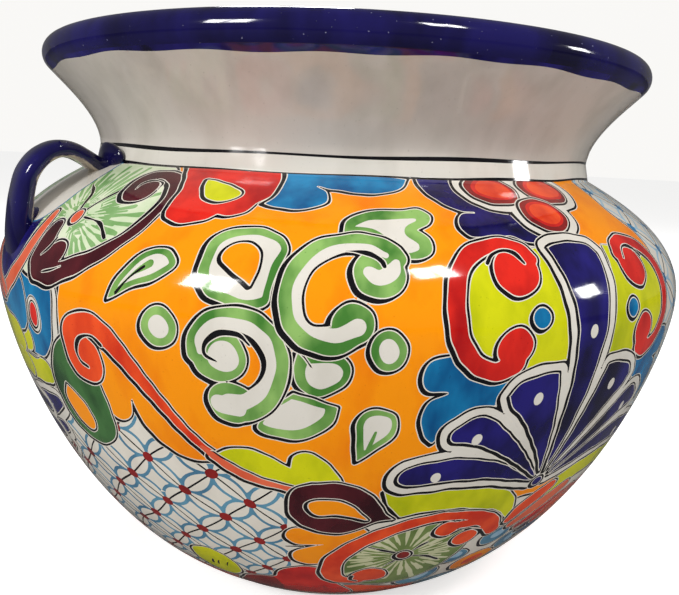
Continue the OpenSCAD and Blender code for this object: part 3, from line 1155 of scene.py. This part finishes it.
TONES = {
    "bare": ((228, 222, 210), (217, 210, 197), 0.35),
    "white": ((224, 219, 209), (212, 207, 196), 0.35),
    # painted shade: the neck's white is greyer than the collar's to stand for the shade under the flare
    "neck_white": ((205, 197, 188), (191, 183, 173), 0.4),
    "ink": ((18, 17, 22), (8, 8, 11), 0.4),
    "cobalt": ((34, 28, 112), (13, 9, 44), 0.5),
    "sky": ((22, 130, 182), (6, 78, 130), 0.5),
    "slate": ((96, 150, 176), (66, 112, 142), 0.5),
    "haze": ((170, 202, 220), (132, 172, 200), 0.4),
    "orange": ((252, 150, 4), (240, 124, 0), 0.35),
    "flame": ((242, 84, 34), (206, 48, 22), 0.5),
    "red": ((226, 42, 30), (168, 18, 20), 0.5),
    "brick": ((150, 34, 32), (104, 20, 22), 0.5),
    "salmon": ((232, 108, 74), (212, 84, 52), 0.45),
    "maroon": ((84, 26, 34), (46, 10, 20), 0.5),
    "lime": ((211, 212, 16), (172, 180, 4), 0.4),
    "leaf": ((146, 188, 104), (68, 124, 50), 0.6),
    "leaf_pale": ((150, 188, 128), (112, 158, 92), 0.5),
    "olive": ((128, 148, 84), (88, 112, 56), 0.5),
    "mint": ((222, 230, 200), (190, 212, 168), 0.4),
    "cream": ((214, 214, 176), (186, 192, 142), 0.4),
    "forest": ((66, 112, 60), (28, 58, 34), 0.5),
}
glazes = {}
for name, (light, dark, share) in TONES.items():
    glazes[name] = glaze("glaze_" + name, srgb(*light), srgb(*dark), share)
print("glazes:", len(glazes))

# %% [markdown]
# Bare earthenware shows only on the foot ring, which the potter wipes clean so that it doesn't stick in
# the kiln. It is matt, a little mottled and warm. Two noises colour it, a slow one for the mottle and a
# fine one for the grain, and a third is a small bump.

# %% Bare clay
clay = bpy.data.materials.new("bare_clay")
clay.use_nodes = True
tree = clay.node_tree
surface = tree.nodes["Principled BSDF"]
mottle = between(tree, noise(tree, 35.0, 4.0), 0.38, 0.66, srgb(176, 112, 82), srgb(150, 88, 62))
grain = between(tree, noise(tree, 700.0, 2.0), 0.55, 0.75, mottle, srgb(196, 140, 108))
tree.links.new(grain, surface.inputs["Base Color"])
surface.inputs["Roughness"].default_value = 0.82
bump = node(tree, "Bump", Strength=0.25, Distance=0.001)
tree.links.new(noise(tree, 500.0, 3.0), bump.inputs["Height"])
tree.links.new(bump.outputs["Normal"], surface.inputs["Normal"])
print("bare clay roughness:", round(surface.inputs["Roughness"].default_value, 2))

# %% [markdown]
# ## The painted clay pieces
# Each piece of the wall takes the painted triangles between its two seams. The second half turn is a
# copy, welded to the first. The inside wall is the outline moved in by the wall's thickness and spun round
# the axis, and bridges close the piece at both rims.

# %% From skin to solid pieces
def inner_outline(v0, v1):
    """The outline of the inside wall between two lengths, as vertices in metres."""
    v = np.linspace(v0, v1, 24)
    r, z = radius_at(v), np.interp(v, outline_v, outline[:, 1])
    out, up = np.interp(v, outline_v, slopes[:, 1]), -np.interp(v, outline_v, slopes[:, 0])
    size = np.hypot(out, up)
    r, z = r - wall * out / size, z - wall * up / size
    return [(float(a) * MM, 0, float(b) * MM) for a, b in zip(r, z)]


def painted_skin(v0, v1):
    """A bmesh with the painted faces between two seams, all the way round."""
    pick = (middle[:, 1] > v0) & (middle[:, 1] < v1)
    used, faces = np.unique(triangles[pick], return_inverse=True)
    faces = faces.reshape(-1, 3)
    a, v = skin_av[used].T
    v = np.where(np.abs(v - v0) < 0.02, v0, np.where(np.abs(v - v1) < 0.02, v1, v))
    half, _ = place(a, v)
    mesh = bpy.data.meshes.new("skin")
    points = np.concatenate([half, half * (-1, -1, 1)])
    mesh.from_pydata(points.tolist(), [], np.concatenate([faces, faces + len(half)]).tolist())
    mesh.polygons.foreach_set("material_index", np.tile(colour_of[pick], 2).astype(np.int32))
    bm = bmesh.new()
    bm.from_mesh(mesh)
    bpy.data.meshes.remove(mesh)
    seam_verts = [x for x, angle in zip(bm.verts, np.tile(a, 2)) if angle < 0.01 or angle > PERIOD - 0.01]
    bmesh.ops.remove_doubles(bm, verts=seam_verts, dist=2e-5)
    return bm


def open_at(bm, height):
    """The open edges that lie at one height."""
    return [e for e in bm.edges if e.is_boundary and all(abs(x.co.z - height) < 2e-6 for x in e.verts)]


def finished(mesh, name, node_name):
    """Makes an object of a mesh, lets it ride on the pot and hides its CAD node."""
    piece = bpy.data.objects.new(name, mesh)
    bpy.context.scene.collection.objects.link(piece)
    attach(piece, "root")
    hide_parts(node_name)
    print(name, "has", len(mesh.polygons), "faces")


def solid(name, v0, v1, inner, node_name):
    """A closed clay piece: painted outside, inner wall, and a flat ring at both ends."""
    bm = painted_skin(v0, v1)
    painted = bm.faces.layers.int.new("painted")
    for f in bm.faces:
        f[painted] = 1
    z0, z1 = (float(np.interp(v, outline_v, outline[:, 1])) * MM for v in (v0, v1))
    chain = [bm.verts.new(p) for p in inner]
    links = [bm.edges.new(pair) for pair in zip(chain, chain[1:])]
    bmesh.ops.spin(bm, geom=chain + links, cent=(0, 0, 0), axis=(0, 0, 1), angle=2 * math.pi, steps=120,
                   use_merge=True)
    for height, inner_height in ((z0, inner[0][2]), (z1, inner[-1][2])):
        outer_r = float(np.interp(height / MM, outline[:, 1], outline[:, 0])) * MM
        outer_rim = [e for e in open_at(bm, height) if abs(e.verts[0].co.xy.length - outer_r) < 1e-4]
        inner_rim = [e for e in open_at(bm, inner_height) if e not in outer_rim]
        bmesh.ops.bridge_loops(bm, edges=outer_rim + inner_rim)
        for e in outer_rim:
            e.smooth = False
    bmesh.ops.recalc_face_normals(bm, faces=bm.faces)
    if bm.calc_volume(signed=True) < 0:
        bmesh.ops.reverse_faces(bm, faces=bm.faces)
    for f in bm.faces:
        f.smooth = True
        if not f[painted]:
            f.material_index = 0
    print(name, "open edges:", sum(not e.is_manifold for e in bm.edges))
    mesh = bpy.data.meshes.new(name)
    bm.to_mesh(mesh)
    bm.free()
    for glaze_name in GLAZE_NAMES:
        mesh.materials.append(glazes[glaze_name])
    give_normals(mesh)
    finished(mesh, name, node_name)


def give_normals(mesh):
    """Sets the exact outline normals on the painted faces. The other corners keep their own."""
    count = len(mesh.loops)
    corner = np.zeros(count, np.int32)
    mesh.loops.foreach_get("vertex_index", corner)
    points = np.zeros(len(mesh.vertices) * 3)
    mesh.vertices.foreach_get("co", points)
    x, y, z = points.reshape(-1, 3)[corner].T
    v = np.interp(z / MM, outline[:, 1], outline_v)
    out, up = np.interp(v, outline_v, slopes[:, 1]), -np.interp(v, outline_v, slopes[:, 0])
    size, r = np.hypot(out, up), np.maximum(np.hypot(x, y), 1e-9)
    normals = np.stack([out * x / r / size, out * y / r / size, up / size], -1)
    painted = np.zeros(len(mesh.polygons), np.int32)
    sides = np.zeros(len(mesh.polygons), np.int32)
    mesh.attributes["painted"].data.foreach_get("value", painted)
    mesh.polygons.foreach_get("loop_total", sides)
    normals[np.repeat(painted, sides) == 0] = 0
    mesh.attributes.remove(mesh.attributes["painted"])
    mesh.normals_split_custom_set(normals.tolist())


shoulder_inner = inner_outline(BELLY_V, COLLAR_V)
neck_inner = inner_outline(NECK_V, TOP_V)
collar_inner = [(shoulder_inner[-1][0], 0, collar_z * MM), (neck_inner[0][0], 0, neck_z * MM)]
shoulder_inner[-1] = collar_inner[0]
neck_inner[0] = collar_inner[1]
neck_inner[-1] = (neck_inner[-1][0], 0, seat_z * MM)
floor_r = slab_r - 12              # where the inside wall meets the slab
bowl_inner = [p for p in inner_outline(BOWL_V, BELLY_V) if p[2] > (slab_z + wall) * MM]
bowl_inner = [(floor_r * MM, 0, slab_z * MM)] + bowl_inner
bowl_inner[-1] = shoulder_inner[0]
solid("painted_lower_bowl", BOWL_V, BELLY_V, bowl_inner, "lower_bowl")
solid("painted_shoulder", BELLY_V, COLLAR_V, shoulder_inner, "shoulder_bowl")
solid("white_collar", COLLAR_V, NECK_V, collar_inner, "collar_band")
solid("dipped_neck", NECK_V, TOP_V, neck_inner, "flared_neck")

# %% [markdown]
# ## The rolled lip
# The lip is a full round roll. One circle spun round the axis gives it, and the spin's end is merged
# with its start. Its cobalt dip has pinholes where the white ground shows through.

# %% Rolled lip
def dip_glaze(name):
    """Cobalt with small pinholes."""
    material = glaze(name, srgb(26, 22, 84), srgb(14, 11, 46), 0.5, streak=45.0)
    tree = material.node_tree
    surface = tree.nodes["Principled BSDF"]
    colour = surface.inputs["Base Color"].links[0].from_socket
    holes = between(tree, noise(tree, 900.0, 0.0), 0.83, 0.85, colour, srgb(120, 120, 150))
    tree.links.new(holes, surface.inputs["Base Color"])
    return material


def piece_from(bm, name, material, node_name):
    """Turns a bmesh into one smooth cobalt piece."""
    for f in bm.faces:
        f.smooth = True
    mesh = bpy.data.meshes.new(name)
    bm.to_mesh(mesh)
    bm.free()
    mesh.materials.append(material)
    finished(mesh, name, node_name)


dip = dip_glaze("cobalt_dip")
bm = bmesh.new()
ring = bmesh.ops.create_circle(bm, segments=40, radius=lip_r * MM)
bmesh.ops.rotate(bm, verts=ring["verts"], cent=(0, 0, 0), matrix=Matrix.Rotation(math.pi / 2, 3, "X"))
bmesh.ops.translate(bm, verts=ring["verts"], vec=(lip_ring_r * MM, 0, lip_z * MM))
bmesh.ops.spin(bm, geom=bm.verts[:] + bm.edges[:], cent=(0, 0, 0), axis=(0, 0, 1), angle=2 * math.pi,
               steps=240, use_merge=True)
bmesh.ops.recalc_face_normals(bm, faces=bm.faces)
piece_from(bm, "cobalt_lip", dip, "rolled_lip")

# %% [markdown]
# ## The handles
# A handle is a pulled strap of clay. Its section is a soft rectangle that is carried along a bent
# centre line: up from the belly, over the arch and down into the collar. Each step extrudes the last ring
# of edges and moves it to the next place. The brush reaches the outside but not all of the inner face,
# which stays cream with a ragged border, so every vertex keeps how far it looks inwards and the glaze
# reads that.

# %% Strap handles
SECTION_POINTS = 28


def section(width, thick):
    """A soft rectangle as (across, out) points: a circle with its corners pushed out."""
    points = []
    for i in range(SECTION_POINTS):
        c, s = math.cos(2 * math.pi * i / SECTION_POINTS), math.sin(2 * math.pi * i / SECTION_POINTS)
        across = width / 2 * math.copysign(abs(c) ** 0.62, c)
        out = thick / 2 * math.copysign(abs(s) ** 0.8, s)
        points.append((across, out))
    return points


centre_line = [  # radius, height, thickness and width of the strap, from the belly to the collar
    (190.5, 181, 8, 24), (192.2, 190, 10.5, 27), (192.6, 200, 11, 26.5), (191.8, 211, 10.4, 25.5),
    (190.4, 221, 9.6, 25), (187.6, 230.5, 9.2, 25), (182, 238, 9, 25), (174.5, 242.2, 8.6, 25),
    (167.5, 242, 8.2, 24.5), (161, 239, 7.6, 24), (155.5, 235.8, 8, 23.5), (150, 234.8, 10, 25),
    (144.5, 235.5, 10, 25),
]


def strap(turn):
    """One handle as a bmesh, turned round the pot."""
    path = smooth(centre_line, False, steps=6)
    bm = bmesh.new()
    inward = bm.verts.layers.float.new("inward")
    ring = bmesh.ops.create_circle(bm, segments=SECTION_POINTS, radius=0.01)["verts"]
    edges = bm.edges[:]
    turn_by = Matrix.Rotation(turn, 3, "Z")
    for i, (r, z, thick, width) in enumerate(path):
        if i:
            grown = bmesh.ops.extrude_edge_only(bm, edges=edges)["geom"]
            edges = [e for e in grown if isinstance(e, bmesh.types.BMEdge) and e.is_boundary]
            edges = [e for e in edges if all(x in grown for x in e.verts)]
            ahead = {}
            for old in ring:
                ahead[old] = next(e.other_vert(old) for e in old.link_edges if e.other_vert(old) in grown)
            ring = [ahead[old] for old in ring]
        before, after = path[max(i - 1, 0)], path[min(i + 1, len(path) - 1)]
        along = Vector((after[0] - before[0], 0, after[1] - before[1])).normalized()
        out = Vector((along.z, 0, -along.x))
        wave = 0.4 * math.sin(i * 0.55 + turn)
        for x, (side, level) in zip(ring, section(width + wave, thick)):
            p = Vector((r, side, z)) + out * level
            x.co = turn_by @ (p * MM)
            x[inward] = -level / thick * 2
    bmesh.ops.holes_fill(bm, edges=[e for e in bm.edges if e.is_boundary], sides=60)
    bmesh.ops.recalc_face_normals(bm, faces=bm.faces)
    return bm


strap_glaze = dip_glaze("strap_glaze")
tree = strap_glaze.node_tree
surface = tree.nodes["Principled BSDF"]
cobalt_dip = surface.inputs["Base Color"].links[0].from_socket
looks_inward = node(tree, "Attribute", attribute_name="inward")
ragged = node(tree, "MapRange")
tree.links.new(noise(tree, 120.0, 3.0), ragged.inputs["Value"])
ragged.inputs["To Min"].default_value = -0.6
ragged.inputs["To Max"].default_value = 0.6
height = node(tree, "Math", operation="ADD")
tree.links.new(looks_inward.outputs["Fac"], height.inputs[0])
tree.links.new(ragged.outputs["Result"], height.inputs[1])
cream_slip = srgb(196, 184, 166)
inner_face = between(tree, height.outputs["Value"], 0.62, 0.80, cobalt_dip, cream_slip)
tree.links.new(inner_face, surface.inputs["Base Color"])

for turn, hand_side in ((0, "right"), (math.pi, "left")):
    piece_from(strap(turn), hand_side + "_handle", strap_glaze, hand_side + "_strap")

# %% [markdown]
# ## Where the handles join
# The potter presses a lump of clay over each end of a strap. At the collar it ends in a rounded tab that
# stands up against the band, and at the belly it is a small thumbed roll inside the loop. Both start as a
# sphere that is squeezed, leaned and, for the tab, pinched in the middle.

# %% Pressed lumps
def lump(centre, half, lean, pinch, turn):
    """A squeezed sphere: where its middle is, its half sizes, its lean in degrees and its pinch."""
    bm = bmesh.new()
    bmesh.ops.create_uvsphere(bm, u_segments=48, v_segments=28, radius=1)
    for x in bm.verts:
        side, up = x.co.y, x.co.z
        x.co.x *= 1 - pinch * max(up, 0)
        x.co.z *= 1 - 0.3 * pinch * side * side
        x.co.x += 0.06 * math.sin(5 * side + 2 * up)
    bmesh.ops.scale(bm, verts=bm.verts, vec=Vector(half) * MM)
    bmesh.ops.rotate(bm, verts=bm.verts, cent=(0, 0, 0), matrix=Matrix.Rotation(lean * DEG, 3, "Y"))
    bmesh.ops.translate(bm, verts=bm.verts, vec=Vector(centre) * MM)
    for x in bm.verts:
        x.co.x -= x.co.y ** 2 / 2 / x.co.x          # follows the roundness of the pot
    bmesh.ops.rotate(bm, verts=bm.verts, cent=(0, 0, 0), matrix=Matrix.Rotation(turn, 3, "Z"))
    return bm


for turn, hand_side in ((0, "right"), (math.pi, "left")):
    tab = lump((149.4, 6, 239.4), (4.2, 14.5, 7.6), 12, 0.3, turn)
    piece_from(tab, hand_side + "_collar_tab", dip, hand_side + "_collar_wad")
    roll = lump((185, 0, 206.5), (7.5, 13, 7.5), -35, 0.2, turn)
    piece_from(roll, hand_side + "_belly_roll", dip, hand_side + "_shoulder_wad")

# %% [markdown]
# ## Foot and base
# The potter turns the foot ring on the wheel, and the base slab closes the pot just above it. Both are
# plain rings and discs that the CAD already gives in full, so they keep the CAD's mesh. The ring gets
# the bare clay and the slab the white glaze.

# %% Foot and slab
for node_name, material, slot_name in (("foot_ring", clay, "bare_clay"),
                                       ("base_slab", glazes["white"], "white_glaze")):
    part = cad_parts[node_name]
    part.data.materials.clear()
    part.data.materials.append(material)
    print(node_name, "wears", material.name)

# %% [markdown]
# ## Floor, light and camera
# A plain pale floor, an even sky and four soft window lights, each of two panes. The glaze mirrors the
# panes as its highlights, and it sees the floor and the sky darker than they are, so that the colours
# of the paint stay deep.

# %% Floor and lights
floor_mesh = bpy.data.meshes.new("floor")
bm = bmesh.new()
bmesh.ops.create_grid(bm, x_segments=1, y_segments=1, size=30)
bm.to_mesh(floor_mesh)
bm.free()
floor = bpy.data.objects.new("floor", floor_mesh)
bpy.context.scene.collection.objects.link(floor)
scene = bpy.context.scene


def per_ray(tree, seen, mirrored, scattered):
    """A value for what the camera sees, one for what the glaze mirrors, and one for all other light."""
    path = tree.nodes.new("ShaderNodeLightPath")
    socket = scattered
    for ray, value in (("Is Glossy Ray", mirrored), ("Is Camera Ray", seen)):
        part = node(tree, "MapRange")
        tree.links.new(path.outputs[ray], part.inputs["Value"])
        if isinstance(socket, float):
            part.inputs["To Min"].default_value = socket
        else:
            tree.links.new(socket, part.inputs["To Min"])
        part.inputs["To Max"].default_value = value
        socket = part.outputs["Result"]
    return socket


paper = bpy.data.materials.new("paper")
paper.use_nodes = True
tree = paper.node_tree
surface = tree.nodes["Principled BSDF"]
tree.links.new(per_ray(tree, 0.9, 0.09, 0.6), surface.inputs["Base Color"])
surface.inputs["Emission Color"].default_value = (1, 1, 1, 1)
tree.links.new(per_ray(tree, 0.54, 0.0, 0.0), surface.inputs["Emission Strength"])
surface.inputs["Roughness"].default_value = 0.9
floor_mesh.materials.append(paper)

world = bpy.data.worlds.new("studio")
scene.world = world
world.use_nodes = True
tree = world.node_tree
tree.nodes["Background"].inputs["Color"].default_value = (1, 0.99, 0.97, 1)
tree.links.new(per_ray(tree, 0.95, 0.14, 0.41), tree.nodes["Background"].inputs["Strength"])


def soft_light(name, where, target, width, height, power):
    """One glowing pane that faces a target."""
    light = bpy.data.lights.new(name, "AREA")
    light.shape = "RECTANGLE"
    light.size, light.size_y, light.energy = width, height, power
    lamp = bpy.data.objects.new(name, light)
    scene.collection.objects.link(lamp)
    lamp.location = where
    lamp.rotation_mode = "QUATERNION"
    lamp.rotation_quaternion = (Vector(target) - Vector(where)).to_track_quat("-Z", "Y")


def window_light(name, where, size, power):
    """Two panes side by side, so that the highlight looks like a small window."""
    centre = Vector(where)
    aside = Vector((0, 0, 1)).cross(centre).normalized()
    for pane, side in ((-1, "_left"), (1, "_right")):
        pane_at = centre + aside * (pane * size * 0.3)
        soft_light(name + side, pane_at, pot_middle, size * 0.5, size, power / 2)


pot_middle = (0, 0, 0.17)
window_light("window", (-1.7, -0.4, 1.2), 0.45, 21)
window_light("ceiling", (0.1, -1.5, 2.0), 0.4, 19)
window_light("side", (1.6, -1.5, 0.9), 0.3, 9)
window_light("behind", (0.9, 1.7, 1.6), 0.5, 14)
print("light panes:", len(bpy.data.lights))

# %% [markdown]
# The camera stands close to the pot and a little above its shoulder, and looks slightly down. It is a
# wide lens near the pot, so the lip looks large and the foot small. Its turn is built from a level look
# toward the pot, a tilt down and a small roll.

# %% Camera
camera = bpy.data.objects.new("camera", bpy.data.cameras.new("camera"))
scene.collection.objects.link(camera)
scene.camera = camera
camera.data.lens = 36
camera.data.sensor_width = 36     # as wide as the lens is long, so the view opens about 53 degrees
toward = Vector((0.588, 0.809, 0))
aside = Vector((0.809, -0.588, 0))
away, off_axis, eye_height = 0.442, 0.0016, 0.243
tilt, roll = 0.1992, 0.0457       # radians
camera.location = -toward * away + aside * off_axis + Vector((0, 0, eye_height))
look = (toward * math.cos(tilt) - Vector((0, 0, math.sin(tilt)))).to_track_quat("-Z", "Y").to_matrix()
camera.rotation_euler = (look @ Matrix.Rotation(roll, 3, "Z")).to_euler()
scene.view_settings.view_transform = "Standard"
scene.view_settings.look = "None"
print("camera at:", [round(x, 3) for x in camera.location], "lens:", camera.data.lens)
